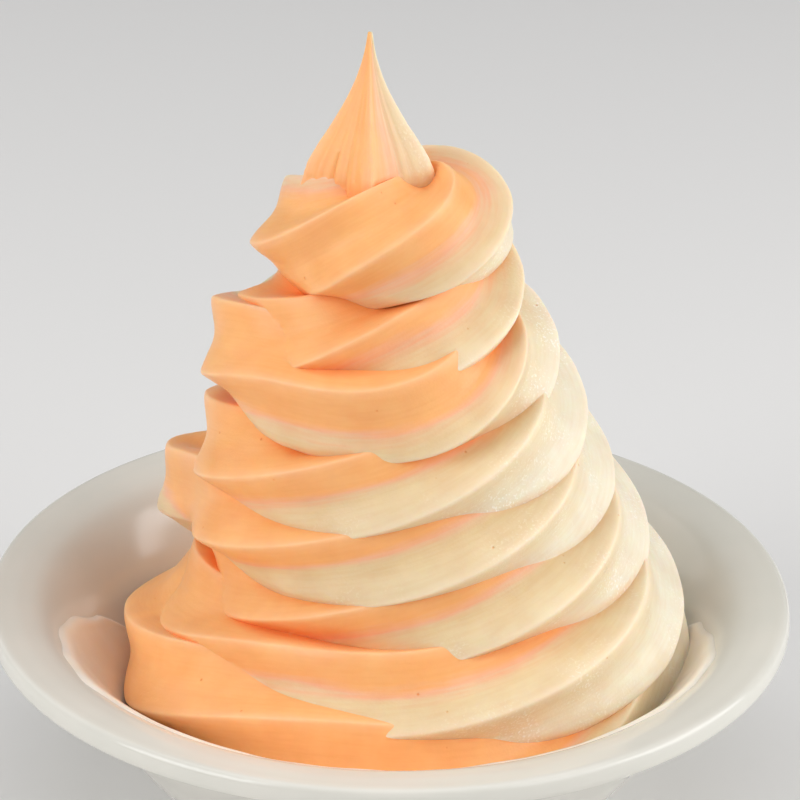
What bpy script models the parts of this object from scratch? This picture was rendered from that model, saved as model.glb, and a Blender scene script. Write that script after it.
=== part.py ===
"""Bowl of soft serve ice cream.

One star-shaped rope of ice cream, orange on one side and vanilla on the other, is coiled eight
times round and drawn up to a pointed peak. It stands in a shallow china bowl with a turned-out
lip and a foot ring. +Z is up, the origin is under the middle of the foot, and -Y is the front.
"""

import math

import bmesh
import bpy
import numpy as np
from mathutils import Vector

MM = 0.001

# China bowl: the middle line of its wall, from the lip to the centre of the floor, as
# (radius, drop below the rim)
RIM_HEIGHT = 44 * MM
WALL_THICKNESS = 4.4 * MM
WALL_LINE = (
    (72.8 * MM, 2.5 * MM),
    (69.0 * MM, 2.9 * MM),
    (65.4 * MM, 4.1 * MM),
    (61.5 * MM, 7.7 * MM),
    (57.4 * MM, 13.2 * MM),
    (52.0 * MM, 20.8 * MM),
    (45.6 * MM, 29.7 * MM),
    (36.8 * MM, 35.6 * MM),
    (24.0 * MM, 37.6 * MM),
    (0.0 * MM, 37.8 * MM),
)
LIP_SQUARENESS = 0.6
WALL_STEPS = 2
FOOT_RADIUS = 38 * MM
FOOT_WIDTH = 5 * MM
FOOT_RECESS = 2.5 * MM
BOWL_SEGMENTS = 48
LIP_STEPS = 6
CLEARANCE = 0.3 * MM

# Coil of ice cream. Turns are counted up from the start of the rope, which lies at the right
# of the bowl. Heights are above the rim.
FIRST_TURN = 0.15
LAST_TURN = 8.5
FRONT_OF_BASE = 0.75
BASE_HEIGHT = -9.4 * MM
RISE_PER_TURN = 9.6 * MM
RISE_GROWTH = 0.3 * MM
BASE_REACH = 55.6 * MM
SHRINK_PER_TURN = 3.7 * MM
SHRINK_GROWTH = 0.043 * MM
BASE_SHIFT = 6.8 * MM
LEAN_PER_TURN = -1.03 * MM
# How far the coil strays outwards from an even cone (mm), every half turn from turn 0
STRAY = (-2.5, 4.5, -1, -1, 2.5, -6.5, 0.5, -0.5, -1.5, 1.5, -1.5, 3, -2, 0, -2, -0.5, 1, -5)
# How far each turn sits above an even climb (mm), where it crosses the front
LIFT = (-1.5, -4.5, -2, -1.5, -1, 0, -3.5, 1, -18.5)
# At the back left the rope buckled as it was laid, and one fold stands out
BUCKLE_TURN = 3.435
BUCKLE_REACH = 11.0 * MM
BUCKLE_DROP = 6.5 * MM
BUCKLE_TURNS = 0.03
BUCKLE_TWIST = -30
# Where the rope was nudged as it was laid: (turn, turns either side, lift in mm, twist in degrees)
NUDGES = (
    (0.66, 0.07, 2, -15),
    (0.8, 0.06, -5, 0),
    (0.9, 0.06, -5, 0),
    (1.64, 0.06, 1.5, -10),
    (3.5, 0.12, 1.5, 0),
    (5.5, 0.1, 6.5, 10),
    (5.62, 0.05, 0, -12),
    (5.8, 0.1, 0, 35),
    (6.47, 0.1, 0, -35),
    (6.75, 0.1, 0, -30),
    (7.6, 0.07, 1, 25),
)

# Rope: a five-ridged star. The nozzle does not turn, so the ridges keep nearly the same compass
# direction all the way up. The directions are those of one ridge, every half turn from turn 0.
ROPE_HALF_WIDTH = 13.0 * MM
ROPE_HALF_HEIGHT = 12.5 * MM
RIDGES = 5
RIDGE_DIRECTION = (220, 220, 205, 185, 215, 225, 220, 215, 210, 205, 200, 200, 195, 185, 180, 180, 170, 165)
FLUTE_DEPTH = 0.27
AXIS_REACH = 0.95
RIDGE_ROUNDING = 0.085
# The underside is pressed nearly round where it rests on the turn below
PRESS_START = 0.25
PRESS_SPAN = 0.5
PRESS_MEAN = 0.45
PRESS_EASE = 0.65
POINTS_PER_FLUTE = 5
# The steps do not repeat from turn to turn, so no two end sections lie in one plane
STEPS_PER_TURN = 38.4
STEPS_PER_PIECE = 31
END_SHRINK = 0.8

# Peak: it stands in the last turn and is drawn to a point
PEAK_SHIFT = -4.7 * MM
PEAK_FORWARD = 1.6 * MM
PEAK_TIP = 109.3 * MM
# Radius of the peak (mm), every 4 mm down from its tip
PEAK_RADII = (0.4, 1.15, 2.5, 4.5, 7.2, 9.9, 12, 12.9, 13, 13, 13)
PEAK_RADII_APART = 4 * MM
PEAK_RIDGE_DIRECTION = math.radians(273)
PEAK_STEPS = 16

# Ice cream inside the coil and under it
CORE_RINGS = 18
CORE_SIDES = 24
CORE_PAST_MIDDLE = 2.5 * MM
FILL_DROP = 21.0 * MM
FILL_OVERLAP = 0.5 * MM

SHARP_ANGLE = math.radians(40)
CHINA_WHITE = (0.80, 0.79, 0.77, 1)
ORANGE_CREAM = (0.95, 0.45, 0.15, 1)


def clear_scene():
    for obj in list(bpy.data.objects):
        bpy.data.objects.remove(obj)


def material(name, colour, roughness):
    made = bpy.data.materials.new(name)
    made.use_nodes = True
    shader = made.node_tree.nodes["Principled BSDF"]
    shader.inputs["Base Color"].default_value = colour
    shader.inputs["Roughness"].default_value = roughness
    return made


def object_from(name, bm):
    bmesh.ops.recalc_face_normals(bm, faces=bm.faces)
    mesh = bpy.data.meshes.new(name)
    bm.to_mesh(mesh)
    bm.free()
    made = bpy.data.objects.new(name, mesh)
    bpy.context.scene.collection.objects.link(made)
    return made


def smooth_line(points, steps):
    """Points on a Catmull-Rom curve through the given (radius, drop) points."""
    ends = [2 * np.subtract(points[0], 0) - points[1], *points, 2 * np.subtract(points[-1], 0) - points[-2]]
    line = []
    for a, b, c, d in zip(ends, ends[1:], ends[2:], ends[3:]):
        a, b, c, d = map(np.asarray, (a, b, c, d))
        for step in range(steps):
            u = step / steps
            line.append(
                b + (c - a) * u / 2 + (a - 2.5 * b + 2 * c - d / 2) * u**2
                + (1.5 * (b - c) + (d - a) / 2) * u**3
            )
    return np.array([*line, points[-1]])


def wall_side(inwards):
    """The line that runs a distance inwards from the middle of the wall, from the lip to the centre."""
    line = smooth_line(WALL_LINE, WALL_STEPS)
    along = np.gradient(line, axis=0)
    along[-1] = (-1, 0)
    along /= np.linalg.norm(along, axis=1)[:, None]
    side = line + inwards * np.stack([-along[:, 1], along[:, 0]], axis=1)
    side[-1][0] = 0
    return side


def spun(name, profile):
    """A closed solid turned from (radius, height) points that start and end on the axis."""
    bm = bmesh.new()
    verts = [bm.verts.new((radius, 0, height)) for radius, height in profile]
    edges = [bm.edges.new(pair) for pair in zip(verts, verts[1:])]
    bmesh.ops.spin(
        bm, geom=verts + edges, axis=(0, 0, 1), cent=(0, 0, 0),
        angle=math.tau, steps=BOWL_SEGMENTS, use_merge=True,
    )
    bmesh.ops.remove_doubles(bm, verts=bm.verts, dist=1e-6)
    return object_from(name, bm)


def squared(part):
    """A sine or cosine pushed outwards, which turns a round lip into one with two soft edges."""
    return math.copysign(abs(part) ** LIP_SQUARENESS, part)


def bowl():
    inner, outer = wall_side(WALL_THICKNESS / 2), wall_side(-WALL_THICKNESS / 2)
    lip_middle = np.array(WALL_LINE[0])
    inner_angle = math.atan2(*(inner[0] - lip_middle)[::-1])
    towards_inner = np.array([math.cos(inner_angle), math.sin(inner_angle)])
    outwards = np.array([-towards_inner[1], towards_inner[0]])
    lip = [
        lip_middle + WALL_THICKNESS / 2 * (
            squared(math.cos(angle)) * towards_inner + squared(math.sin(angle)) * outwards
        )
        for angle in math.pi * np.arange(1, LIP_STEPS) / LIP_STEPS
    ]
    body = [point for point in outer if point[0] > FOOT_RADIUS]
    under = outer[-1][1]
    foot = [
        (FOOT_RADIUS, RIM_HEIGHT),
        (FOOT_RADIUS - FOOT_WIDTH, RIM_HEIGHT),
        (FOOT_RADIUS - FOOT_WIDTH - FOOT_RECESS, under),
        (0, under),
    ]
    profile = [*inner[::-1], *lip, *body, *foot]
    return spun("bowl", [(radius, RIM_HEIGHT - drop) for radius, drop in profile])


def nudge(turn):
    """How far the rope is lifted (mm) and twisted (degrees) by the nudges near a turn."""
    near = [math.exp(-(((turn - middle) / spread) ** 2) / 2) for middle, spread, _, _ in NUDGES]
    return np.dot(near, [row[2:] for row in NUDGES])


def buckled(turn):
    """1 where the rope buckled, and falling to 0 either side."""
    return math.exp(-(((turn - BUCKLE_TURN) / BUCKLE_TURNS) ** 2) / 2)


def coil_centre(turn):
    """The coil's axis shift, the distance of the rope's middle from that axis, and its height."""
    rise = turn - FRONT_OF_BASE
    height = BASE_HEIGHT + RISE_PER_TURN * rise + RISE_GROWTH * rise**2
    height += MM * (np.interp(rise, range(len(LIFT)), LIFT) + nudge(turn)[0]) - BUCKLE_DROP * buckled(turn)
    reach = BASE_REACH - SHRINK_PER_TURN * turn - SHRINK_GROWTH * turn**2
    reach += MM * np.interp(2 * turn, range(len(STRAY)), STRAY) + BUCKLE_REACH * buckled(turn)
    shift = BASE_SHIFT + LEAN_PER_TURN * turn
    return shift, reach - ROPE_HALF_WIDTH, height


def star(ridges_at, inward_limit, half_width, half_height, pressed):
    """Points (sideways, upwards) of a star about its middle, from one of its ridges round."""
    count = RIDGES * POINTS_PER_FLUTE
    points = []
    for index in range(count):
        wave = math.sin(math.pi * index / POINTS_PER_FLUTE)
        flute = math.hypot(wave, RIDGE_ROUNDING) - RIDGE_ROUNDING
        angle = ridges_at + math.tau * index / count
        below = pressed * min(1, max(0, (-math.sin(angle) - PRESS_START) / PRESS_SPAN))
        flute += below**2 * (3 - 2 * below) * (PRESS_MEAN - PRESS_EASE * flute)
        size = 1 - FLUTE_DEPTH * flute
        sideways = half_width * size * math.cos(angle)
        points.append((max(sideways, -inward_limit), half_height * size * math.sin(angle)))
    return points


def coil_ring(turn):
    """One section of the laid rope. It stops short of the coil's axis."""
    shift, distance, height = coil_centre(turn)
    azimuth = math.tau * turn
    outward = Vector((math.cos(azimuth), math.sin(azimuth), 0))
    middle = Vector((shift, 0, RIM_HEIGHT + height)) + outward * distance
    direction = np.interp(2 * turn, range(len(RIDGE_DIRECTION)), RIDGE_DIRECTION)
    direction += BUCKLE_TWIST * buckled(turn) + nudge(turn)[1]
    ridges_at = azimuth - math.radians(direction)
    section = star(ridges_at, AXIS_REACH * distance, ROPE_HALF_WIDTH, ROPE_HALF_HEIGHT, 1)
    return [middle + outward * sideways + Vector((0, 0, up)) for sideways, up in section]


def peak_ring(place):
    """One level section of the peak, at a place in the table of its radii."""
    radius = MM * np.interp(place, range(len(PEAK_RADII)), PEAK_RADII)
    section = star(PEAK_RIDGE_DIRECTION, PEAK_TIP, radius, radius, 0)
    forward = PEAK_FORWARD * min(1, place / 6)
    height = RIM_HEIGHT + PEAK_TIP - place * PEAK_RADII_APART
    return [(PEAK_SHIFT + x, y - forward, height) for x, y in section]


def swept(name, rings):
    """A closed solid through a row of rings with equal numbers of points."""
    bm = bmesh.new()
    loop = [bm.verts.new(point) for point in rings[0]]
    edges = [bm.edges.new((a, b)) for a, b in zip(loop, loop[1:] + loop[:1])]
    bmesh.ops.contextual_create(bm, geom=loop)
    for ring in rings[1:]:
        made = bmesh.ops.extrude_edge_only(bm, edges=edges)["geom"]
        edges = [item for item in made if isinstance(item, bmesh.types.BMEdge)]
        fresh = [item for item in made if isinstance(item, bmesh.types.BMVert)]
        for vert, point in zip(fresh, ring):
            vert.co = point
    bmesh.ops.contextual_create(bm, geom=edges)
    return object_from(name, bm)


def shrunken(ring):
    middle = sum(ring, Vector()) / len(ring)
    return [middle.lerp(point, END_SHRINK) for point in ring]


def rope_pieces():
    """The rope as closed pieces. Both ends of each taper off inside the piece next to it."""
    rings = [coil_ring(turn) for turn in np.arange(FIRST_TURN, LAST_TURN, 1 / STEPS_PER_TURN)]
    pieces = []
    for start in range(1, len(rings) - 1, STEPS_PER_PIECE):
        end = min(start + STEPS_PER_PIECE, len(rings) - 2)
        middle = rings[start : end + 1]
        pieces.append(swept(f"rope_{start}", [shrunken(rings[start - 1]), *middle, shrunken(rings[end + 1])]))
    return pieces


def peak():
    return swept("peak", [peak_ring(place) for place in np.linspace(len(PEAK_RADII) - 1, 0, PEAK_STEPS)])


def core():
    """The ice cream inside the coil, out to a little past the middle of the rope."""
    levels = [(*coil_centre(0)[:2], -FILL_DROP - FILL_OVERLAP)]
    levels += [coil_centre(turn) for turn in np.linspace(FRONT_OF_BASE, LAST_TURN, CORE_RINGS)]
    rings = []
    for shift, distance, height in levels:
        distance += CORE_PAST_MIDDLE
        rings.append([
            (shift + distance * math.cos(angle), distance * math.sin(angle), RIM_HEIGHT + height)
            for angle in np.arange(CORE_SIDES) * math.tau / CORE_SIDES
        ])
    return swept("core", rings)


def fill():
    """The ice cream that fills the bottom of the bowl, a little into the wall until it is trimmed."""
    side = wall_side(WALL_THICKNESS / 2 - FILL_OVERLAP)[::-1]
    top_radius = np.interp(-FILL_DROP, -side[:, 1], side[:, 0])
    below = [(radius, RIM_HEIGHT - drop) for radius, drop in side if drop > FILL_DROP + 0.1 * MM]
    return spun("fill", [*below, (top_radius, RIM_HEIGHT - FILL_DROP), (0, RIM_HEIGHT - FILL_DROP)])


def bowl_room():
    """The room inside the bowl and above it, clear of the wall."""
    side = wall_side(WALL_THICKNESS / 2 + CLEARANCE)[::-1]
    top = RIM_HEIGHT + 2 * PEAK_TIP
    wall = [(radius, RIM_HEIGHT - drop) for radius, drop in side]
    return spun("room", [*wall, (side[-1][0], top), (0, top)])


def apply_modifiers(obj):
    """Keep the shape that the object's modifiers give, and drop the modifiers."""
    graph = bpy.context.evaluated_depsgraph_get()
    made = bpy.data.meshes.new_from_object(obj.evaluated_get(graph))
    obj.modifiers.clear()
    obj.data = made


def joined(name, pieces):
    """One solid from pieces that overlap."""
    base, *others = pieces
    base.name = name
    group = bpy.data.collections.new("pieces_to_join")
    bpy.context.scene.collection.children.link(group)
    for piece in others:
        group.objects.link(piece)
    join = base.modifiers.new("Join", "BOOLEAN")
    join.operation = "UNION"
    join.operand_type = "COLLECTION"
    join.collection = group
    join.solver = "MANIFOLD"
    apply_modifiers(base)
    for piece in others:
        bpy.data.objects.remove(piece)
    bpy.data.collections.remove(group)
    return base


def skin_only(obj):
    """Keep the outer skin of a joined solid, which fills the small hollows that joining seals."""
    bm = bmesh.new()
    bm.from_mesh(obj.data)
    bmesh.ops.triangulate(bm, faces=bm.faces)
    waiting = [max(bm.verts, key=lambda vert: vert.co.z).link_faces[0]]
    skin = set(waiting)
    while waiting:
        face = waiting.pop()
        fresh = {near for edge in face.edges for near in edge.link_faces} - skin
        skin |= fresh
        waiting.extend(fresh)
    bmesh.ops.delete(bm, geom=[face for face in bm.faces if face not in skin], context="FACES")
    bm.to_mesh(obj.data)
    bm.free()


def trimmed(obj, room):
    """Keep only what lies inside the room."""
    trim = obj.modifiers.new("Trim", "BOOLEAN")
    trim.operation = "INTERSECT"
    trim.object = room
    trim.solver = "MANIFOLD"
    apply_modifiers(obj)
    bpy.data.objects.remove(room)


def soft_serve():
    whole = joined("soft_serve", [*rope_pieces(), peak(), core(), fill()])
    trimmed(whole, bowl_room())
    skin_only(whole)
    return whole


def main():
    clear_scene()
    dish = bowl()
    dish.data.materials.append(material("glazed_china", CHINA_WHITE, 0.15))
    swirl = soft_serve()
    swirl.data.materials.append(material("soft_serve_ice_cream", ORANGE_CREAM, 0.4))
    for obj in (dish, swirl):
        obj.data.shade_smooth()
        obj.data.set_sharp_from_angle(angle=SHARP_ANGLE)


main()
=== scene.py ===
"""Bowl of soft serve ice cream: the looks.

One star-shaped rope of ice cream, orange on one side and vanilla on the other, is coiled eight
times round and drawn up to a peak, in a glazed china bowl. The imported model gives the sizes, and
this script makes the smooth bowl, the fluted swirl, the melted film at its foot and the finishes.
+Z is up, the origin is under the middle of the foot, and -Y is the front.
"""

import math

import bmesh
import bpy
import numpy as np
from mathutils import Matrix, Vector
from mathutils.bvhtree import BVHTree


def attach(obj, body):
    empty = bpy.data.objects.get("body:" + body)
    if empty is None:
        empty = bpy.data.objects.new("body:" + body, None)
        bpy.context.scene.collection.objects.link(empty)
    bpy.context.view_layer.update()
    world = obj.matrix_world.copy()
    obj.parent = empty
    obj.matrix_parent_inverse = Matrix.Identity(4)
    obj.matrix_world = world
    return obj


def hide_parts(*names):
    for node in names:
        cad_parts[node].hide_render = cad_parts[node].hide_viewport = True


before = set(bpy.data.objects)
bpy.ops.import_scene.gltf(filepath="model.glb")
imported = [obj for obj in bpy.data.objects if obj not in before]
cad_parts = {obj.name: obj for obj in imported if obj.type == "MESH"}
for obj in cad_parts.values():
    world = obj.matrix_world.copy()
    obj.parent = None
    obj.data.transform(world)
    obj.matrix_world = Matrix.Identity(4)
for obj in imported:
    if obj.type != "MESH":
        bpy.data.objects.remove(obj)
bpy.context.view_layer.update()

MM = 0.001

# China bowl: the middle line of its wall, from the lip to the centre of the floor, as
# (radius, drop below the rim)
RIM_HEIGHT = 44 * MM
WALL_THICKNESS = 4.4 * MM
WALL_LINE = (
    (72.75 * MM, 2.5 * MM),
    (69.0 * MM, 2.9 * MM),
    (65.4 * MM, 4.1 * MM),
    (61.5 * MM, 7.7 * MM),
    (57.4 * MM, 13.2 * MM),
    (52.0 * MM, 20.8 * MM),
    (45.6 * MM, 29.7 * MM),
    (36.8 * MM, 35.6 * MM),
    (24.0 * MM, 37.6 * MM),
    (0.0 * MM, 37.8 * MM),
)
LIP_SQUARENESS = 0.6
WALL_STEPS = 8
FOOT_RADIUS = 38 * MM
FOOT_WIDTH = 5 * MM
FOOT_RECESS = 2.5 * MM
FOOT_ROUNDING = 1.0 * MM
# Edges of the bowl that are at least this sharp and this low are the foot's corners
FOOT_CORNER = math.radians(25)
FOOT_TOP = 10 * MM
BOWL_SEGMENTS = 192
LIP_STEPS = 18
CLEARANCE = 0.3 * MM

# Coil of ice cream. Turns are counted up from the start of the rope, which lies at the right
# of the bowl. Heights are above the rim.
FIRST_TURN = 0.15
LAST_TURN = 8.5
FRONT_OF_BASE = 0.75
BASE_HEIGHT = -9.4 * MM
RISE_PER_TURN = 9.6 * MM
RISE_GROWTH = 0.3 * MM
BASE_REACH = 55.6 * MM
SHRINK_PER_TURN = 3.7 * MM
SHRINK_GROWTH = 0.043 * MM
BASE_SHIFT = 6.8 * MM
LEAN_PER_TURN = -1.03 * MM
# How far the coil strays outwards from an even cone (mm), every half turn from turn 0
STRAY = (-2.5, 4.5, -1, -1, 2.5, -6.5, 0.5, -0.5, -1.5, 1.5, -1.5, 3, -2, 0, -2, -0.5, 1, -5)
# How far each turn sits above an even climb (mm), where it crosses the front
LIFT = (-1.5, -4.5, -2, -1.5, -1, 0, -3.5, 1, -18.5)
# Where the rope buckled outwards and sagged, at the left
BUCKLE_TURN = 3.435
BUCKLE_REACH = 11.0 * MM
BUCKLE_DROP = 6.5 * MM
BUCKLE_TURNS = 0.03
BUCKLE_TWIST = -30
# Where the rope was nudged as it was laid: (turn, turns either side, lift in mm, twist in degrees,
# and how much wider the vanilla is there at its front and its back border, in degrees)
NUDGES = (
    (0.45, 0.1, 0, 0, 0, -125),
    (0.66, 0.07, 2, -15, 0, 0),
    (0.8, 0.06, -5, 0, 0, 0),
    (0.9, 0.06, -5, 0, 30, 30),
    (1.42, 0.08, 0, 0, 0, -60),
    (1.64, 0.06, 1.5, -10, 18, 18),
    (2.45, 0.1, 0, 0, 0, -75),
    (3.435, 0.04, 0, 0, 85, -70),
    (3.5, 0.12, 1.5, 0, 0, 0),
    (5.5, 0.1, 6.5, 10, 0, 0),
    (5.62, 0.05, 0, -12, 0, 0),
    (5.8, 0.1, 0, 35, 0, 0),
    (6.47, 0.1, 0, -35, 0, 0),
    (6.75, 0.1, 0, -30, 0, 0),
    (7.6, 0.07, 1, 25, 0, 0),
    (8.43, 0.08, 0, 0, -90, -90),
)

# Rope: a five-ridged star. The nozzle does not turn, so the ridges and the two flavours keep
# nearly the same compass direction all the way up.
ROPE_HALF_WIDTH = 13.0 * MM
ROPE_HALF_HEIGHT = 12.5 * MM
RIDGES = 5
# Compass direction in which one of the ridges points (degrees), every half turn from turn 0
RIDGE_DIRECTION = (222, 220, 205, 184, 214, 225, 220, 215, 211, 207, 202, 198, 193, 185, 179, 178, 172, 165)
FLUTE_DEPTH = 0.27
RIDGE_ROUNDING = 0.085
# The underside is pressed nearly round: where that starts, over how much of the height it grows,
# and how much of the flutes' mean depth it takes up and of the flutes it smooths away
PRESS_START = 0.25
PRESS_SPAN = 0.5
PRESS_MEAN = 0.45
PRESS_EASE = 0.65
POINTS_PER_FLUTE = 28
LIP_CROWDING = 0.75
# How far the rope may reach inwards, as a share of the way to the coil's axis
AXIS_REACH = 0.95
RING_SPACING = 2.0 * MM
PIECES = 13
END_SHRINK = 0.8

# Fine lines that the nozzle's edge leaves along the rope, and the lips' ragged height
NOZZLE_LINES = 26
NOZZLE_LINE_DEPTH = 0.002 * MM
PEAK_LINE_DEPTH = 0.035 * MM
LIP_RAGGEDNESS = 0.2 * MM
# How much the rope swells and thins as it is laid: (share of its size, radians in a turn, phase)
SWELLS = ((0.006, 11, 0), (0.006, 17.3, 2), (0.006, 29, 4))

# Peak: it stands in the last turn and is drawn to a point
PEAK_SHIFT = -4.7 * MM
PEAK_FORWARD = 1.6 * MM
PEAK_TIP = 109.3 * MM
# Radius of the peak (mm), every 4 mm down from its tip
PEAK_RADII = (0.4, 1.15, 2.5, 4.5, 7.2, 9.9, 12.0, 12.9, 13.0, 13.0, 13.0)
PEAK_RADII_APART = 4 * MM
PEAK_RIDGE_DIRECTION = math.radians(273)
PEAK_STEPS = 60
# The peak leans forward over this many rows of the table, and its patterns start at this length
PEAK_LEAN_ROWS = 6
PEAK_PATTERN_START = 3.0

# Where the two flavours meet, as compass directions: at the back, and at the front for each
# turn that crosses it. The spread is half the width of the blend, in degrees.
BACK_BORDER = 115
FRONT_BORDER = (290, 237, 250, 238, 236, 243, 280, 290, 300)
BORDER_SPREAD = (14, 16, 14, 14, 16, 22, 27, 30, 35)
# How far past the border, in degrees, the vanilla is at its palest
DEEP_VANILLA = 90

# Ice cream inside the coil and under it
CORE_RINGS = 18
CORE_SIDES = 24
CORE_PAST_MIDDLE = 2.5 * MM
FILL_DROP = 21.0 * MM
FILL_OVERLAP = 0.5 * MM

# Short sight lines that find the creases: (angle above the surface, direction round it)
SIGHT_START = 0.15 * MM
SIGHT_LENGTH = 7.0 * MM
SIGHT_DIRECTIONS = 5
SIGHT_LINES = [
    (math.radians(lift), math.tau * (turn + lift / 90) / SIGHT_DIRECTIONS)
    for lift in (20, 50) for turn in range(SIGHT_DIRECTIONS)
]

# Melted film on the wall round the foot of the coil: how far out it reaches, as radii for
# compass directions
FILM_DIRECTIONS = (162, 172, 185, 194, 202, 214, 235, 270, 305, 322, 336, 345, 352, 361, 372)
FILM_REACH = (50.0, 56.3, 60.3, 62.6, 63.9, 64.5, 63.5, 62.5, 63.0, 64.5, 63.3, 62.2, 61.0, 58.8, 52.0)
FILM_INNER_RADIUS = 47.0 * MM
FILM_THICKNESS = 0.45 * MM
FILM_BEAD = 0.35 * MM
# Width of the bead, as a share of the film's; and the waves of its edge, as (depth, span, phase)
FILM_BEAD_WIDTH = 0.12
FILM_WAVES = ((0.3 * MM, 4.1, 0), (0.18 * MM, 1.7, 2))
FILM_SINK = 0.2 * MM
FILM_LIFT = 0.02 * MM
FILM_STEPS = 260
FILM_PLACES = 26

SHARP_ANGLE = math.radians(50)
SWIRL_MIDDLE = 70 * MM
# Points that a smoothed table has for each of its entries
TABLE_STEPS = 16

# Camera: its angle above the table, its distance from the middle of the rim and its roll, and how
# far the middle of an 800 pixel picture lies to the right of the middle of the rim and above it
CAMERA_ELEVATION = math.radians(27.7)
CAMERA_DISTANCE = 0.700
CAMERA_ROLL = math.radians(0.78)
FOCAL_LENGTH = 167.8
FOCAL_LENGTH_PX = 3728
PICTURE_RIGHT_PX = 10.7
PICTURE_ABOVE_PX = 185.4

random = np.random.default_rng(8)


# ---------------------------------------------------------------- shapes

def object_from(name, bm):
    bmesh.ops.recalc_face_normals(bm, faces=bm.faces)
    mesh = bpy.data.meshes.new(name)
    bm.to_mesh(mesh)
    bm.free()
    made = bpy.data.objects.new(name, mesh)
    bpy.context.scene.collection.objects.link(made)
    return made


def smooth_line(points, steps):
    """Points on a Catmull-Rom curve through the given points."""
    points = np.array(points, float)
    ends = [2 * points[0] - points[1], *points, 2 * points[-1] - points[-2]]
    line = []
    for a, b, c, d in zip(ends, ends[1:], ends[2:], ends[3:]):
        for u in np.arange(steps) / steps:
            line.append(
                b + (c - a) * u / 2 + (a - 2.5 * b + 2 * c - d / 2) * u**2
                + (1.5 * (b - c) + (d - a) / 2) * u**3
            )
    return np.array([*line, points[-1]])


def smooth_table(place, table):
    """The value of an evenly spaced table at any place along it, with no kinks at its entries."""
    place = np.clip(place, 0, len(table) - 1)
    fine = smooth_line(table, TABLE_STEPS)
    return np.interp(place * TABLE_STEPS, range(len(fine)), fine)


def wall_side(inwards):
    """The line that runs a distance inwards from the middle of the wall, from the lip to the centre."""
    line = smooth_line(WALL_LINE, WALL_STEPS)
    along = np.gradient(line, axis=0)
    along[-1] = (-1, 0)
    along /= np.linalg.norm(along, axis=1)[:, None]
    side = line + inwards * np.stack([-along[:, 1], along[:, 0]], axis=1)
    side[-1][0] = 0
    return side


def spun(name, profile):
    """A closed solid turned from (radius, height) points that start and end on the axis."""
    bm = bmesh.new()
    verts = [bm.verts.new((radius, 0, height)) for radius, height in profile]
    edges = [bm.edges.new(pair) for pair in zip(verts, verts[1:])]
    bmesh.ops.spin(
        bm, geom=verts + edges, axis=(0, 0, 1), cent=(0, 0, 0),
        angle=math.tau, steps=BOWL_SEGMENTS, use_merge=True,
    )
    bmesh.ops.remove_doubles(bm, verts=bm.verts, dist=1e-6)
    return object_from(name, bm)


def squared(part):
    """A sine or cosine pushed outwards, which turns a round lip into one with two soft edges."""
    return math.copysign(abs(part) ** LIP_SQUARENESS, part)


def bowl():
    inner, outer = wall_side(WALL_THICKNESS / 2), wall_side(-WALL_THICKNESS / 2)
    lip_middle = np.array(WALL_LINE[0])
    inner_angle = math.atan2(*(inner[0] - lip_middle)[::-1])
    lip_angles = math.pi * np.arange(1, LIP_STEPS) / LIP_STEPS
    towards_inner = np.array([math.cos(inner_angle), math.sin(inner_angle)])
    outwards = np.array([-towards_inner[1], towards_inner[0]])
    lip = [
        lip_middle + WALL_THICKNESS / 2 * (
            squared(math.cos(angle)) * towards_inner + squared(math.sin(angle)) * outwards
        )
        for angle in lip_angles
    ]
    body = [point for point in outer if point[0] > FOOT_RADIUS]
    under = outer[-1][1]
    foot = [
        (FOOT_RADIUS, RIM_HEIGHT),
        (FOOT_RADIUS - FOOT_WIDTH, RIM_HEIGHT),
        (FOOT_RADIUS - FOOT_WIDTH - FOOT_RECESS, under),
        (0, under),
    ]
    profile = [*inner[::-1], *lip, *body, *foot]
    made = spun("china_bowl", [(radius, RIM_HEIGHT - drop) for radius, drop in profile])
    bm = bmesh.new()
    bm.from_mesh(made.data)
    corners = [
        edge for edge in bm.edges
        if edge.calc_face_angle() > FOOT_CORNER and edge.verts[0].co.z < FOOT_TOP
        and edge.verts[0].co.xy.length > FOOT_WIDTH
    ]
    bmesh.ops.bevel(
        bm, geom=corners, offset=FOOT_ROUNDING, affect="EDGES", segments=4, profile=0.5, material=-1,
    )
    bm.to_mesh(made.data)
    bm.free()
    return made


def nudge(turn):
    """The nudges near a turn: lift (mm), twist, and how much wider the vanilla is at each border."""
    near = [math.exp(-(((turn - middle) / spread) ** 2) / 2) for middle, spread, *_ in NUDGES]
    return np.dot(near, [row[2:] for row in NUDGES])


def buckled(turn):
    """1 where the rope buckled, and falling to 0 either side."""
    return math.exp(-(((turn - BUCKLE_TURN) / BUCKLE_TURNS) ** 2) / 2)


def coil_centre(turn):
    """The coil's axis shift, the distance of the rope's middle from that axis, and its height."""
    rise = turn - FRONT_OF_BASE
    height = BASE_HEIGHT + RISE_PER_TURN * rise + RISE_GROWTH * rise**2
    height += MM * (smooth_table(rise, LIFT) + nudge(turn)[0]) - BUCKLE_DROP * buckled(turn)
    reach = BASE_REACH - SHRINK_PER_TURN * turn - SHRINK_GROWTH * turn**2
    reach += MM * smooth_table(2 * turn, STRAY) + BUCKLE_REACH * buckled(turn)
    shift = BASE_SHIFT + LEAN_PER_TURN * turn
    return shift, reach - ROPE_HALF_WIDTH, height


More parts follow.
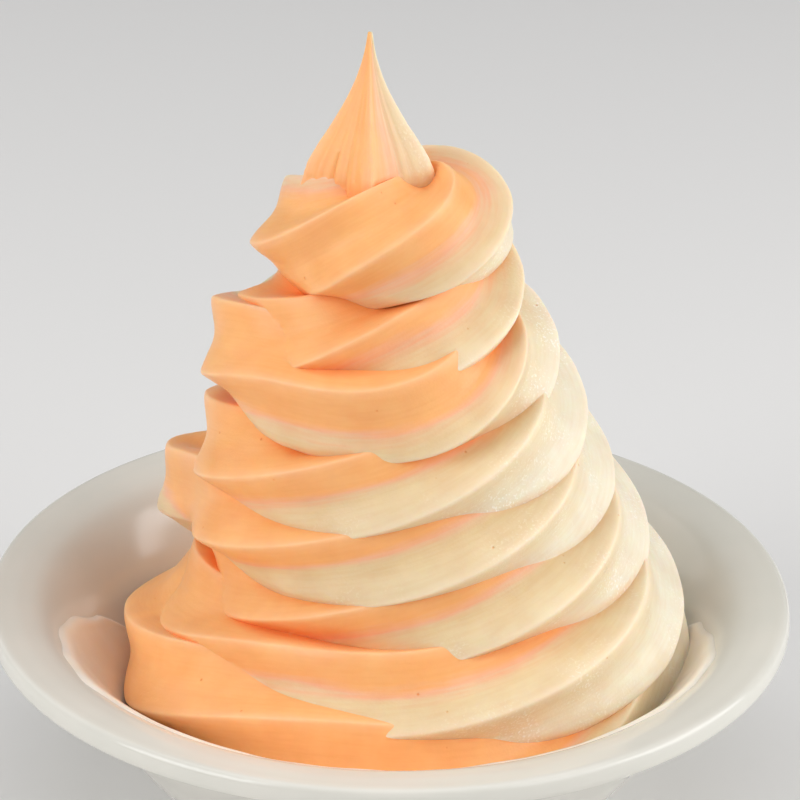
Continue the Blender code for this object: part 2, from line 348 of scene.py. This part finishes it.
# Points round the section, crowded towards the ridges, in flutes from one of the ridges round
PLACES = np.arange(RIDGES * POINTS_PER_FLUTE) / POINTS_PER_FLUTE
PLACES -= LIP_CROWDING * np.sin(math.tau * PLACES) / math.tau
SECTION_ANGLES = math.tau * PLACES / RIDGES
WAVE = np.abs(np.sin(math.pi * PLACES))
LIP = (1 - WAVE) ** 3
LINE_COUNTS = random.integers(9, 60, NOZZLE_LINES)
LINE_PHASES = random.uniform(0, math.tau, NOZZLE_LINES)
LINE_DRIFTS = random.uniform(-2.5, 2.5, NOZZLE_LINES)
LIP_RATES = random.uniform(3, 24, (RIDGES, 8))
LIP_PHASES = random.uniform(0, math.tau, (RIDGES, 8))


def star(ridges_at, inward_limit, half_width, half_height, turn, pressed, line_depth):
    """Points (sideways, upwards) of a fluted star about its middle, from one of its ridges round."""
    angles = ridges_at + SECTION_ANGLES
    flute = np.hypot(WAVE, RIDGE_ROUNDING) - RIDGE_ROUNDING
    # The underside is pressed nearly round where it rests on the turn below
    below = pressed * np.clip((-np.sin(angles) - PRESS_START) / PRESS_SPAN, 0, 1)
    flute += below**2 * (3 - 2 * below) * (PRESS_MEAN - PRESS_EASE * flute)
    size = 1 - FLUTE_DEPTH * flute
    size *= 1 + sum(share * math.sin(rate * turn + phase) for share, rate, phase in SWELLS)
    lines = np.cos(LINE_COUNTS * SECTION_ANGLES[:, None] + LINE_PHASES + LINE_DRIFTS * turn).sum(axis=1)
    ragged = np.sin(LIP_RATES * turn * math.tau + LIP_PHASES).mean(axis=1)
    size += line_depth / ROPE_HALF_WIDTH * lines
    size += LIP_RAGGEDNESS / ROPE_HALF_WIDTH * LIP * ragged[np.round(PLACES).astype(int) % RIDGES]
    sideways = np.maximum(half_width * size * np.cos(angles), -inward_limit)
    return sideways, half_height * size * np.sin(angles)


def flavours(compass, turn):
    """For compass directions in degrees: 0 for orange to 1 for vanilla, and how far inside the vanilla."""
    wider_front, wider_back = nudge(turn)[2:]
    front = smooth_table(turn - FRONT_OF_BASE, FRONT_BORDER) - wider_front
    back = 360 + BACK_BORDER + wider_back
    spread = smooth_table(turn - FRONT_OF_BASE, BORDER_SPREAD)
    past_middle = (compass - (front + back) / 2 + 180) % 360 - 180
    inside_vanilla = (back - front) / 2 - np.abs(past_middle)
    share = np.clip(0.5 + inside_vanilla / (4 * spread), 0, 1)
    return np.stack([share, np.clip(inside_vanilla / DEEP_VANILLA, 0, 1)])


def coil_ring(turn):
    """One section of the laid rope, and its flavours. It stops short of the coil's axis."""
    shift, distance, height = coil_centre(turn)
    azimuth = math.tau * turn
    direction = smooth_table(2 * turn, RIDGE_DIRECTION) + BUCKLE_TWIST * buckled(turn)
    ridges_at = azimuth - math.radians(direction + nudge(turn)[1])
    sideways, up = star(
        ridges_at, AXIS_REACH * distance, ROPE_HALF_WIDTH, ROPE_HALF_HEIGHT, turn, 1, NOZZLE_LINE_DEPTH,
    )
    points = np.stack([
        shift + math.cos(azimuth) * (distance + sideways),
        math.sin(azimuth) * (distance + sideways),
        RIM_HEIGHT + height + up,
    ], axis=1)
    return points, flavours(direction - np.degrees(SECTION_ANGLES), turn)


def peak_ring(place):
    """One level section of the peak, at a place in the table of its radii."""
    height = PEAK_TIP - place * PEAK_RADII_APART
    radius = MM * smooth_table(place, PEAK_RADII)
    x, y = star(PEAK_RIDGE_DIRECTION, PEAK_TIP, radius, radius, LAST_TURN + place / 10, 0, PEAK_LINE_DEPTH)
    forward = PEAK_FORWARD * min(1, place / PEAK_LEAN_ROWS)
    points = np.stack([PEAK_SHIFT + x, y - forward, np.full(len(x), RIM_HEIGHT + height)], axis=1)
    return points, flavours(np.degrees(PEAK_RIDGE_DIRECTION + SECTION_ANGLES), LAST_TURN + 1)


def set_uv(obj, name, across, up):
    """Write one UV map from a value pair for each vertex."""
    corners = np.empty(len(obj.data.loops), np.int32)
    obj.data.loops.foreach_get("vertex_index", corners)
    pairs = np.stack([across, up], axis=1)[corners]
    obj.data.uv_layers.new(name=name, do_init=False).uv.foreach_set("vector", pairs.ravel())


def mark_rope(obj, along, turned, lip, flavour):
    """How far along the rope each point lies, how near a lip, where round the section, and its flavour."""
    set_uv(obj, "along_and_lip", along, lip)
    set_uv(obj, "section", np.cos(turned), np.sin(turned))
    set_uv(obj, "flavour", *flavour)


def swept(name, rings):
    """A closed solid through a row of rings with equal numbers of points."""
    bm = bmesh.new()
    loop = [bm.verts.new(point) for point in rings[0]]
    edges = [bm.edges.new((a, b)) for a, b in zip(loop, loop[1:] + loop[:1])]
    bmesh.ops.contextual_create(bm, geom=loop)
    for ring in rings[1:]:
        made = bmesh.ops.extrude_edge_only(bm, edges=edges)["geom"]
        edges = [item for item in made if isinstance(item, bmesh.types.BMEdge)]
        fresh = [item for item in made if isinstance(item, bmesh.types.BMVert)]
        for vert, point in zip(fresh, ring):
            vert.co = point
    bmesh.ops.contextual_create(bm, geom=edges)
    return object_from(name, bm)


def shrunken(points):
    middle = points.mean(axis=0)
    return middle + END_SHRINK * (points - middle)


def fluted(name, sections, along):
    """A swept piece of the rope from (points, flavours), with its UV maps."""
    made = swept(name, [points for points, _ in sections])
    flavour = np.concatenate([shares for _, shares in sections], axis=1)
    rows = len(sections)
    angles, lip = np.tile(SECTION_ANGLES, rows), np.tile(1 - WAVE, rows)
    mark_rope(made, np.repeat(along, len(PLACES)), angles, lip, flavour)
    return made


def rope_turns():
    """The turns at which the rope has a section, evenly spaced along its outer side."""
    turns = [FIRST_TURN]
    while turns[-1] < LAST_TURN:
        reach = coil_centre(turns[-1])[1] + ROPE_HALF_WIDTH
        turns.append(turns[-1] + RING_SPACING / (math.tau * reach))
    return turns


def rope_pieces():
    """The rope as closed pieces. Both ends of each taper off inside the piece next to it."""
    turns = rope_turns()
    sections = [coil_ring(turn) for turn in turns]
    borders = np.linspace(1, len(turns) - 2, PIECES + 1).astype(int)
    pieces = []
    for start, end in zip(borders, borders[1:]):
        ends = sections[start - 1], sections[end + 1]
        first, last = ((shrunken(points), flavour) for points, flavour in ends)
        rows = np.arange(start - 1, end + 2)
        pieces.append(fluted(f"rope_{start}", [first, *sections[start : end + 1], last], rows * RING_SPACING))
    return pieces


def peak():
    places = np.linspace(len(PEAK_RADII) - 1, 0, PEAK_STEPS + 1)
    along = PEAK_PATTERN_START - places * PEAK_RADII_APART
    return fluted("peak", [peak_ring(place) for place in places], along)


def mark_pool(obj):
    """Flavours and streaks for ice cream that is not part of the rope, from where each point lies."""
    points = np.array([vert.co for vert in obj.data.vertices])
    turned = np.arctan2(points[:, 1], points[:, 0])
    mark_rope(
        obj, points[:, 2] + np.hypot(points[:, 0], points[:, 1]), turned, np.zeros(len(points)),
        flavours(np.degrees(turned), FRONT_OF_BASE),
    )
    return obj


def core():
    """The ice cream inside the coil, out to a little past the middle of the rope."""
    levels = [(*coil_centre(0)[:2], -FILL_DROP - FILL_OVERLAP)]
    levels += [coil_centre(turn) for turn in np.linspace(FRONT_OF_BASE, LAST_TURN, CORE_RINGS)]
    rings = []
    for shift, distance, height in levels:
        distance += CORE_PAST_MIDDLE
        rings.append([
            (shift + distance * math.cos(angle), distance * math.sin(angle), RIM_HEIGHT + height)
            for angle in np.arange(CORE_SIDES) * math.tau / CORE_SIDES
        ])
    return mark_pool(swept("core", rings))


def fill():
    """The ice cream that fills the bottom of the bowl, a little into the wall until it is trimmed."""
    side = wall_side(WALL_THICKNESS / 2 - FILL_OVERLAP)[::-1]
    top_radius = np.interp(-FILL_DROP, -side[:, 1], side[:, 0])
    below = [(radius, RIM_HEIGHT - drop) for radius, drop in side if drop > FILL_DROP + 0.1 * MM]
    top = RIM_HEIGHT - FILL_DROP
    return mark_pool(spun("fill", [*below, (top_radius, top), (0, top)]))


def bowl_room():
    """The room inside the bowl and above it, clear of the wall."""
    side = wall_side(WALL_THICKNESS / 2 + CLEARANCE)[::-1]
    top = RIM_HEIGHT + 2 * PEAK_TIP
    wall = [(radius, RIM_HEIGHT - drop) for radius, drop in side]
    return mark_pool(spun("room", [*wall, (side[-1][0], top), (0, top)]))


def apply_modifiers(obj):
    """Keep the shape that the object's modifiers give, and drop the modifiers."""
    graph = bpy.context.evaluated_depsgraph_get()
    made = bpy.data.meshes.new_from_object(obj.evaluated_get(graph))
    obj.modifiers.clear()
    obj.data = made


def joined(name, pieces):
    """One solid from pieces that overlap."""
    base, *others = pieces
    base.name = name
    group = bpy.data.collections.new("pieces_to_join")
    bpy.context.scene.collection.children.link(group)
    for piece in others:
        group.objects.link(piece)
    join = base.modifiers.new("Join", "BOOLEAN")
    join.operation = "UNION"
    join.operand_type = "COLLECTION"
    join.collection = group
    join.solver = "MANIFOLD"
    apply_modifiers(base)
    for piece in others:
        bpy.data.objects.remove(piece)
    bpy.data.collections.remove(group)
    return base


def skin_only(obj):
    """Keep the outer skin of a joined solid, which fills the small hollows that joining seals."""
    bm = bmesh.new()
    bm.from_mesh(obj.data)
    waiting = [max(bm.verts, key=lambda vert: vert.co.z).link_faces[0]]
    skin = set(waiting)
    while waiting:
        face = waiting.pop()
        fresh = {near for edge in face.edges for near in edge.link_faces} - skin
        skin |= fresh
        waiting.extend(fresh)
    bmesh.ops.delete(bm, geom=[face for face in bm.faces if face not in skin], context="FACES")
    bm.to_mesh(obj.data)
    bm.free()


def trimmed(obj, room):
    """Keep only what lies inside the room."""
    trim = obj.modifiers.new("Trim", "BOOLEAN")
    trim.operation = "INTERSECT"
    trim.object = room
    trim.solver = "MANIFOLD"
    apply_modifiers(obj)
    bpy.data.objects.remove(room)


def mark_creases(obj):
    """Write how deep in a crease each point lies, from the share of short sight lines that are blocked; the
    ice cream's colour takes painted shade from it.
    """
    bm = bmesh.new()
    bm.from_mesh(obj.data)
    bm.normal_update()
    tree = BVHTree.FromBMesh(bm)
    depth = []
    for vert in bm.verts:
        across = vert.normal.orthogonal().normalized()
        along = vert.normal.cross(across)
        start = vert.co + vert.normal * SIGHT_START
        blocked = 0
        for lift, turned in SIGHT_LINES:
            sideways = across * math.cos(turned) + along * math.sin(turned)
            sight = vert.normal * math.sin(lift) + sideways * math.cos(lift)
            distance = tree.ray_cast(start, sight, SIGHT_LENGTH)[3]
            blocked += 0 if distance is None else 1 - distance / SIGHT_LENGTH
        depth.append(blocked / len(SIGHT_LINES))
    bm.free()
    obj.data.attributes.new("crease", "FLOAT", "POINT").data.foreach_set("value", depth)


def swirl():
    whole = joined("ice_cream_swirl", [*rope_pieces(), peak(), core(), fill()])
    trimmed(whole, bowl_room())
    skin_only(whole)
    mark_creases(whole)
    return whole


def film_ring(direction):
    """One section of the film: out along the wall, round the bead at its edge and back."""
    side = wall_side(WALL_THICKNESS / 2)
    radii, drops = side[::-1].T
    reach = MM * np.interp(direction, FILM_DIRECTIONS, FILM_REACH)
    reach += sum(depth * math.sin(direction / span + phase) for depth, span, phase in FILM_WAVES)
    radius = np.linspace(FILM_INNER_RADIUS, max(reach, FILM_INNER_RADIUS + MM), FILM_PLACES)
    drop = np.interp(radius, radii, drops)
    slope = np.gradient(drop, radius)
    inward = np.stack([slope, -np.ones(FILM_PLACES)], axis=1) / np.hypot(slope, 1)[:, None]
    place = np.linspace(0, 1, FILM_PLACES)
    from_edge = (1 - place) / FILM_BEAD_WIDTH
    height = (FILM_THICKNESS + FILM_BEAD * np.exp(-(from_edge**2))) * np.sqrt(np.clip(from_edge, 0, 1))
    wall = np.stack([radius, drop], axis=1)
    upper = wall + inward * (FILM_LIFT + height)[:, None]
    lower = wall - inward * FILM_SINK
    angle = math.radians(direction)
    loop = [*upper, *lower[::-1]]
    return [(r * math.cos(angle), r * math.sin(angle), RIM_HEIGHT - d) for r, d in loop]


def film():
    directions = np.linspace(FILM_DIRECTIONS[0], FILM_DIRECTIONS[-1], FILM_STEPS)
    return swept("melted_film", [film_ring(direction) for direction in directions])


# ---------------------------------------------------------------- finishes

def colour(hex_code):
    """An sRGB hex code as a linear colour."""
    parts = [int(hex_code[at : at + 2], 16) / 255 for at in (0, 2, 4)]
    linear = [part / 12.92 if part <= 0.04045 else ((part + 0.055) / 1.055) ** 2.4 for part in parts]
    return (*linear, 1)


def new_material(name):
    made = bpy.data.materials.new(name)
    made.use_nodes = True
    return made, made.node_tree.nodes["Principled BSDF"]


def add_node(material, kind, settings=(), inputs=()):
    """Add a node, set its settings, and link or set its inputs."""
    node = material.node_tree.nodes.new(kind)
    for key, value in dict(settings).items():
        setattr(node, key, value)
    for key, value in dict(inputs).items():
        if isinstance(value, bpy.types.NodeSocket):
            material.node_tree.links.new(value, node.inputs[key])
        else:
            node.inputs[key].default_value = value
    return node


def set_ramp(node, stops):
    elements = node.color_ramp.elements
    while len(elements) < len(stops):
        elements.new(0.5)
    for element, (position, value) in zip(elements, stops):
        element.position = position
        element.color = value


def glazed_china():
    """White china, slip cast and dipped in clear glaze: smooth, glossy, faintly uneven."""
    made, shader = new_material("glazed_china")
    place = add_node(made, "ShaderNodeTexCoord").outputs["Object"]
    pooled = add_node(made, "ShaderNodeTexNoise", inputs={
        "Vector": place, "Scale": 1 / (14 * MM), "Detail": 2.0,
    })
    shade = add_node(made, "ShaderNodeValToRGB", inputs={"Fac": pooled.outputs["Fac"]})
    set_ramp(shade, [(0.3, colour("D9D7CE")), (0.7, colour("DDDAD1"))])
    waviness = add_node(made, "ShaderNodeBump", inputs={
        "Strength": 0.08, "Distance": 0.3 * MM, "Height": pooled.outputs["Fac"],
    })
    made.node_tree.links.new(shade.outputs["Color"], shader.inputs["Base Color"])
    made.node_tree.links.new(waviness.outputs["Normal"], shader.inputs["Normal"])
    shader.inputs["Roughness"].default_value = 0.16
    shader.inputs["IOR"].default_value = 1.5
    return made


def soft_serve():
    """Two-flavour soft serve, pressed through a star nozzle: satin, with fine drawn lines and pits."""
    made, shader = new_material("orange_and_vanilla_soft_serve")
    along = add_node(made, "ShaderNodeSeparateXYZ", inputs={
        "Vector": add_node(made, "ShaderNodeUVMap", {"uv_map": "along_and_lip"}).outputs["UV"],
    })
    section = add_node(made, "ShaderNodeSeparateXYZ", inputs={
        "Vector": add_node(made, "ShaderNodeUVMap", {"uv_map": "section"}).outputs["UV"],
    })
    flavour = add_node(made, "ShaderNodeSeparateXYZ", inputs={
        "Vector": add_node(made, "ShaderNodeUVMap", {"uv_map": "flavour"}).outputs["UV"],
    })
    crease = add_node(made, "ShaderNodeAttribute", {"attribute_name": "crease"}).outputs["Fac"]
    place = add_node(made, "ShaderNodeTexCoord").outputs["Object"]

    # The rope laid out straight, its length shortened so that patterns stretch along it
    stretched = add_node(made, "ShaderNodeMath", {"operation": "MULTIPLY"}, {0: along.outputs["X"], 1: 8.0})
    straight = add_node(made, "ShaderNodeCombineXYZ", inputs={
        "X": stretched.outputs[0], "Y": section.outputs["X"], "Z": section.outputs["Y"],
    }).outputs["Vector"]
    streaks = add_node(made, "ShaderNodeTexNoise", inputs={"Vector": straight, "Scale": 4.0, "Detail": 5.0})
    fine_lines = add_node(made, "ShaderNodeTexNoise", inputs={
        "Vector": straight, "Scale": 16.0, "Detail": 2.0,
    })
    mottle = add_node(made, "ShaderNodeTexNoise", inputs={
        "Vector": place, "Scale": 1 / (7 * MM), "Detail": 4.0,
    })
    crystals = add_node(made, "ShaderNodeTexNoise", inputs={
        "Vector": place, "Scale": 1 / (0.5 * MM), "Detail": 2.0,
    })
    bubbles = add_node(made, "ShaderNodeTexVoronoi", inputs={"Vector": place, "Scale": 1 / (2.6 * MM)})

    # Where the flavours meet they wander and streak into one another
    wander = add_node(made, "ShaderNodeMapRange", inputs={
        "Value": streaks.outputs["Fac"], "From Min": 0.3, "From Max": 0.7, "To Min": -0.09, "To Max": 0.09,
    })
    share = add_node(made, "ShaderNodeMath", {"operation": "ADD"}, {
        0: flavour.outputs["X"], 1: wander.outputs[0],
    })
    vanilla = add_node(made, "ShaderNodeValToRGB", inputs={"Fac": flavour.outputs["Y"]})
    set_ramp(vanilla, [(0.1, colour("E8CFA3")), (0.5, colour("E9D8B4")), (1.0, colour("EEE6D0"))])
    blush = add_node(made, "ShaderNodeValToRGB", inputs={"Fac": share.outputs[0]})
    set_ramp(blush, [(0.36, colour("FFBB7A")), (0.5, colour("F6BD97")), (0.6, colour("EEC9A2"))])
    past_blush = add_node(made, "ShaderNodeMapRange", inputs={
        "Value": share.outputs[0], "From Min": 0.5, "From Max": 0.7, "To Min": 0.0, "To Max": 1.0,
    })
    blend = add_node(made, "ShaderNodeMix", {"data_type": "RGBA"}, {
        "Factor": past_blush.outputs[0], 6: blush.outputs["Color"], 7: vanilla.outputs["Color"],
    })
    tint = add_node(made, "ShaderNodeValToRGB", inputs={"Fac": mottle.outputs["Fac"]})
    set_ramp(tint, [(0.35, colour("FAF4F0")), (0.65, colour("FFFFFF"))])
    mottled = add_node(made, "ShaderNodeMix", {"data_type": "RGBA", "blend_type": "MULTIPLY"}, {
        "Factor": 1.0, 6: blend.outputs[2], 7: tint.outputs["Color"],
    })
    line_tint = add_node(made, "ShaderNodeValToRGB", inputs={"Fac": fine_lines.outputs["Fac"]})
    set_ramp(line_tint, [(0.35, colour("FDFAF6")), (0.6, colour("FFFFFF"))])
    lined = add_node(made, "ShaderNodeMix", {"data_type": "RGBA", "blend_type": "MULTIPLY"}, {
        "Factor": 1.0, 6: mottled.outputs[2], 7: line_tint.outputs["Color"],
    })
    # The lips get a painted highlight: a paler colour mixed in near them, stronger towards the vanilla side
    lip = add_node(made, "ShaderNodeMath", {"operation": "POWER"}, {0: along.outputs["Y"], 1: 6.0})
    lip_highlight_strength = add_node(made, "ShaderNodeMapRange", inputs={
        "Value": share.outputs[0], "From Min": 0.3, "From Max": 0.6, "To Min": 0.2, "To Max": 0.5,
    })
    lip_highlight_amount = add_node(made, "ShaderNodeMath", {"operation": "MULTIPLY"}, {
        0: lip.outputs[0], 1: lip_highlight_strength.outputs[0],
    })
    lip_highlighted = add_node(made, "ShaderNodeMix", {"data_type": "RGBA"}, {
        "Factor": lip_highlight_amount.outputs[0], 6: lined.outputs[2], 7: colour("FFEFD8"),
    })
    # Painted shade in the creases: a deeper orange multiplied in where the short sight lines are blocked
    crease_shade_amount = add_node(made, "ShaderNodeMapRange", inputs={
        "Value": crease, "From Min": 0.09, "From Max": 0.55, "To Min": 0.0, "To Max": 0.5,
    })
    crease_shaded = add_node(made, "ShaderNodeMix", {"data_type": "RGBA", "blend_type": "MULTIPLY"}, {
        "Factor": crease_shade_amount.outputs[0], 6: lip_highlighted.outputs[2], 7: colour("FFB868"),
    })

    # Only some cells hold a burst bubble
    chosen = add_node(made, "ShaderNodeSeparateColor", inputs={"Color": bubbles.outputs["Color"]})
    burst = add_node(made, "ShaderNodeMath", {"operation": "LESS_THAN"}, {0: chosen.outputs["Red"], 1: 0.07})
    near = add_node(made, "ShaderNodeMapRange", inputs={
        "Value": bubbles.outputs["Distance"],
        "From Min": 0.03, "From Max": 0.13, "To Min": 1.0, "To Max": 0.0,
    })
    pit = add_node(made, "ShaderNodeMath", {"operation": "MULTIPLY"}, {
        0: near.outputs[0], 1: burst.outputs[0],
    })
    pitted_colour = add_node(made, "ShaderNodeMix", {"data_type": "RGBA", "blend_type": "MULTIPLY"}, {
        "Factor": pit.outputs[0], 6: crease_shaded.outputs[2], 7: colour("F6CDA4"),
    })

    # Painted glints: pale grains are painted into the colour on patches deep in the vanilla side, and get a
    # lower roughness there
    patch = add_node(made, "ShaderNodeTexNoise", inputs={
        "Vector": place, "Scale": 1 / (11 * MM), "Detail": 3.0,
    })
    glint_patch = add_node(made, "ShaderNodeMapRange", inputs={
        "Value": patch.outputs["Fac"], "From Min": 0.46, "From Max": 0.66, "To Min": 0.0, "To Max": 1.0,
    })
    glint_side = add_node(made, "ShaderNodeMapRange", inputs={
        "Value": flavour.outputs["Y"], "From Min": 0.2, "From Max": 0.8, "To Min": 0.0, "To Max": 1.0,
    })
    glint_grains = add_node(made, "ShaderNodeMapRange", inputs={
        "Value": crystals.outputs["Fac"], "From Min": 0.56, "From Max": 0.66, "To Min": 0.0, "To Max": 0.8,
    })
    some = add_node(made, "ShaderNodeMath", {"operation": "MULTIPLY"}, {
        0: glint_patch.outputs[0], 1: glint_side.outputs[0],
    })
    painted_glint_and_gloss = add_node(made, "ShaderNodeMath", {"operation": "MULTIPLY"}, {
        0: some.outputs[0], 1: glint_grains.outputs[0],
    })
    # Pale grains mixed into the colour as a painted glint
    painted_glint_colour = add_node(made, "ShaderNodeMix", {"data_type": "RGBA"}, {
        "Factor": painted_glint_and_gloss.outputs[0], 6: pitted_colour.outputs[2], 7: colour("FFFBF2"),
    })

    lines = add_node(made, "ShaderNodeBump", inputs={
        "Strength": 0.08, "Distance": 0.1 * MM, "Height": fine_lines.outputs["Fac"],
    })
    pits = add_node(made, "ShaderNodeBump", {"invert": True}, {
        "Strength": 0.5, "Distance": 0.3 * MM, "Height": pit.outputs[0], "Normal": lines.outputs["Normal"],
    })
    icy = add_node(made, "ShaderNodeBump", inputs={
        "Strength": 0.45, "Distance": 0.08 * MM,
        "Height": crystals.outputs["Fac"], "Normal": pits.outputs["Normal"],
    })
    sheen = add_node(made, "ShaderNodeMapRange", inputs={
        "Value": mottle.outputs["Fac"], "From Min": 0.3, "From Max": 0.7, "To Min": 0.28, "To Max": 0.46,
    })
    polish = add_node(made, "ShaderNodeMix", {"data_type": "FLOAT"}, {
        "Factor": painted_glint_and_gloss.outputs[0], 2: sheen.outputs[0], 3: 0.2,
    })
    made.node_tree.links.new(painted_glint_colour.outputs[2], shader.inputs["Base Color"])
    made.node_tree.links.new(polish.outputs[0], shader.inputs["Roughness"])
    made.node_tree.links.new(icy.outputs["Normal"], shader.inputs["Normal"])
    shader.inputs["IOR"].default_value = 1.36
    shader.inputs["Subsurface Weight"].default_value = 0.5
    shader.inputs["Subsurface Radius"].default_value = (1.0, 0.55, 0.25)
    shader.inputs["Subsurface Scale"].default_value = 1.5 * MM
    return made


def melted_cream():
    """Ice cream melted to a thin film on the china: milky, wet and glossy."""
    made, shader = new_material("melted_ice_cream")
    place = add_node(made, "ShaderNodeTexCoord").outputs["Object"]
    drift = add_node(made, "ShaderNodeTexNoise", inputs={
        "Vector": place, "Scale": 1 / (9 * MM), "Detail": 2.0,
    })
    milk = add_node(made, "ShaderNodeValToRGB", inputs={"Fac": drift.outputs["Fac"]})
    set_ramp(milk, [(0.3, colour("F6EBDB")), (0.7, colour("FBF3E8"))])
    made.node_tree.links.new(milk.outputs["Color"], shader.inputs["Base Color"])
    shader.inputs["Roughness"].default_value = 0.18
    shader.inputs["IOR"].default_value = 1.36
    shader.inputs["Subsurface Weight"].default_value = 0.4
    shader.inputs["Subsurface Radius"].default_value = (1.0, 0.8, 0.6)
    shader.inputs["Subsurface Scale"].default_value = 0.8 * MM
    return made


def pale_floor():
    """Matt painted board, plain and pale."""
    made, shader = new_material("pale_painted_board")
    shader.inputs["Base Color"].default_value = colour("E6E5E4")
    shader.inputs["Roughness"].default_value = 0.6
    return made


# ---------------------------------------------------------------- studio

def area_light(name, power, size, place):
    """A soft square light aimed at the middle of the swirl."""
    lamp = bpy.data.lights.new(name, "AREA")
    lamp.size = size
    lamp.energy = power
    made = bpy.data.objects.new(name, lamp)
    made.location = place
    towards_swirl = Vector((0, 0, SWIRL_MIDDLE)) - made.location
    made.rotation_euler = towards_swirl.to_track_quat("-Z", "Y").to_euler()
    bpy.context.scene.collection.objects.link(made)


def studio():
    world = bpy.data.worlds.new("studio")
    world.use_nodes = True
    sky = world.node_tree.nodes["Background"]
    sky.inputs["Color"].default_value = colour("FFFFFF")
    sky.inputs["Strength"].default_value = 0.12
    bpy.context.scene.world = world
    area_light("softbox_overhead", 5.6, 1.2, (0, 0, 1.2))
    area_light("softbox_left_front", 8.4, 0.8, (-0.85, -0.6, 0.6))
    area_light("softbox_right_front", 3.8, 0.8, (0.85, -0.6, 0.6))
    area_light("softbox_right", 7.6, 0.8, (1.05, 0, 0.5))
    area_light("card_left_back", 1.7, 0.8, (-0.8, 0.5, 0.7))
    bm = bmesh.new()
    bmesh.ops.create_grid(bm, x_segments=1, y_segments=1, size=3)
    floor = object_from("floor", bm)
    floor.data.materials.append(pale_floor())


def camera():
    """A camera aimed so that the middle of the rim lies where the photograph shows it."""
    rim_centre = Vector((0, 0, RIM_HEIGHT))
    forward = Vector((0, math.cos(CAMERA_ELEVATION), -math.sin(CAMERA_ELEVATION)))
    turn = Matrix.Rotation(-CAMERA_ROLL, 3, forward)
    right = turn @ Vector((1, 0, 0))
    above = turn @ Vector((0, math.sin(CAMERA_ELEVATION), math.cos(CAMERA_ELEVATION)))
    aim = (forward * FOCAL_LENGTH_PX + right * PICTURE_RIGHT_PX + above * PICTURE_ABOVE_PX).normalized()
    right = aim.cross(above).normalized()
    turned = Matrix((right, right.cross(aim), -aim)).transposed().to_4x4()
    lens = bpy.data.cameras.new("camera")
    lens.lens = FOCAL_LENGTH
    made = bpy.data.objects.new("camera", lens)
    made.matrix_world = Matrix.Translation(rim_centre - forward * CAMERA_DISTANCE) @ turned
    bpy.context.scene.collection.objects.link(made)
    bpy.context.scene.camera = made


# ---------------------------------------------------------------- assembly

def finish_piece(piece, material, node=None):
    piece.data.materials.clear()
    piece.data.materials.append(material)
    piece.data.shade_smooth()
    piece.data.set_sharp_from_angle(angle=SHARP_ANGLE)
    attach(piece, "root")
    if node:
        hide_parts(node)


finish_piece(bowl(), glazed_china(), "bowl")
finish_piece(swirl(), soft_serve(), "soft_serve")
finish_piece(film(), melted_cream())
studio()
camera()
bpy.context.scene.view_settings.view_transform = "Standard"
